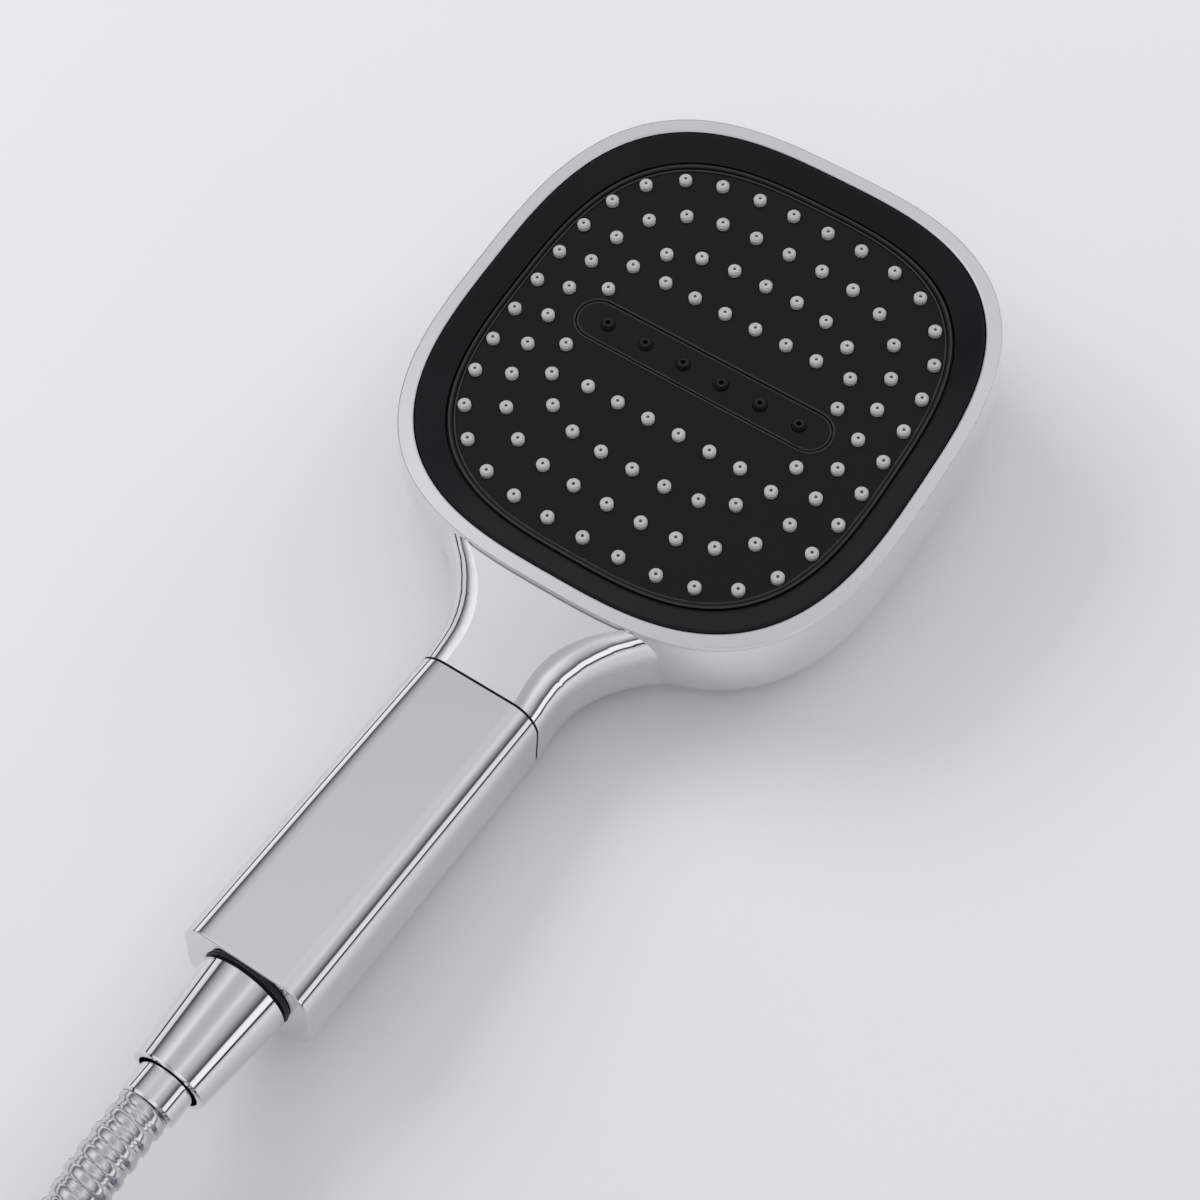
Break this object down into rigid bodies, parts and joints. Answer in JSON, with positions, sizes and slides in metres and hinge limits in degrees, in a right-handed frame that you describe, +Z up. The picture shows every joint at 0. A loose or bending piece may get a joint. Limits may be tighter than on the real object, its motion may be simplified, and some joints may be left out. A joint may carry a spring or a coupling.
{
  "type": "handheld shower head",
  "caption": "Rounded-square handheld shower head with a black face of soft rain nozzles, a jet strip, a chrome handle and a flexible steel hose with nuts at both ends.",
  "frame": {"origin": "on the floor under the middle of the handset's box, with the handset lying on its back", "axes": "+Z up, +Y from the hose end along the handle to the far edge of the head, +X to the right of the face"},
  "size_m": [0.2204, 0.4685, 0.0502],
  "materials": {
    "chrome_plating": "bright chrome plating on moulded ABS or brass",
    "black_abs": "satin black moulded ABS",
    "grey_silicone": "moulded grey silicone",
    "black_silicone": "moulded black silicone",
    "dark_grey_acetal": "dark grey acetal",
    "white_acetal": "natural white acetal",
    "brass": "machined brass",
    "spring_steel": "stainless spring wire",
    "hose_steel": "chromed interlocked stainless strip",
    "stainless": "stainless steel",
    "rubber": "EPDM rubber"
  },
  "bodies": {
    "root": {"head_shell": "chrome_plating", "rim_ring": "chrome_plating", "face_bezel": "black_abs", "face_plate": "black_abs", "nozzle_mat": "grey_silicone", "jet_insert": "black_abs", "jet_nozzles": "black_silicone", "water_divider": "white_acetal", "face_screws": "stainless", "flow_channel": "white_acetal", "channel_seals": "rubber", "valve_housing": "white_acetal", "rotor_seal": "rubber", "valve_lid": "white_acetal", "stem_seal": "rubber", "button_bezel": "chrome_plating", "button_spring": "spring_steel", "handle_sleeve": "chrome_plating", "seam_gasket": "rubber", "neck_adapter": "brass", "adapter_o_rings": "rubber", "water_tube": "white_acetal", "inlet_connector": "dark_grey_acetal", "check_valve_body": "white_acetal", "check_valve_spring": "spring_steel", "flow_regulator": "dark_grey_acetal", "inlet_screen": "stainless", "hose_washer": "rubber", "hose_insert": "brass", "hose_ferrule": "chrome_plating", "hose_lead": "hose_steel", "hose_coil": "hose_steel", "hose_tail": "hose_steel", "wall_ferrule": "chrome_plating", "wall_insert": "brass", "wall_washer": "rubber"},
    "hose_nut": {"hose_nut": "chrome_plating"},
    "mode_button": {"mode_button": "black_abs"},
    "diverter_rotor": {"diverter_rotor": "dark_grey_acetal"},
    "check_valve_poppet": {"check_valve_poppet": "dark_grey_acetal"},
    "wall_nut": {"wall_nut": "chrome_plating"}
  },
  "joints": [
    {"name": "selector_turn", "type": "hinge", "parent": "root", "child": "diverter_rotor", "pos_m": [0, -0.0028, 0.01879], "axis": [0, -0.1045, 0.9945], "range_deg": [0, 90]},
    {"name": "button_press", "type": "slide", "parent": "root", "child": "mode_button", "axis": [0, -0.1045, 0.9945], "range_m": [0, 0.002], "stiffness_N_per_m": 800, "springref_m": -0.001, "deforming": ["button_spring"]},
    {"name": "check_valve_lift", "type": "slide", "parent": "root", "child": "check_valve_poppet", "axis": [0, 0.9954, -0.0958], "range_m": [0, 0.0018], "stiffness_N_per_m": 150, "springref_m": -0.001, "deforming": ["check_valve_spring"]},
    {"name": "hose_nut_spin", "type": "hinge", "parent": "root", "child": "hose_nut", "pos_m": [0, -0.13226, 0.02366], "axis": [0, -0.9954, 0.0958], "continuous": true},
    {"name": "wall_nut_spin", "type": "hinge", "parent": "root", "child": "wall_nut", "pos_m": [0.11919, -0.28814, 0.0374], "axis": [0.9511, 0.309, 0], "continuous": true}
  ],
  "couplings": [
    {"joint": "selector_turn", "follows": "button_press", "rad_per_m": 785.4}
  ]
}
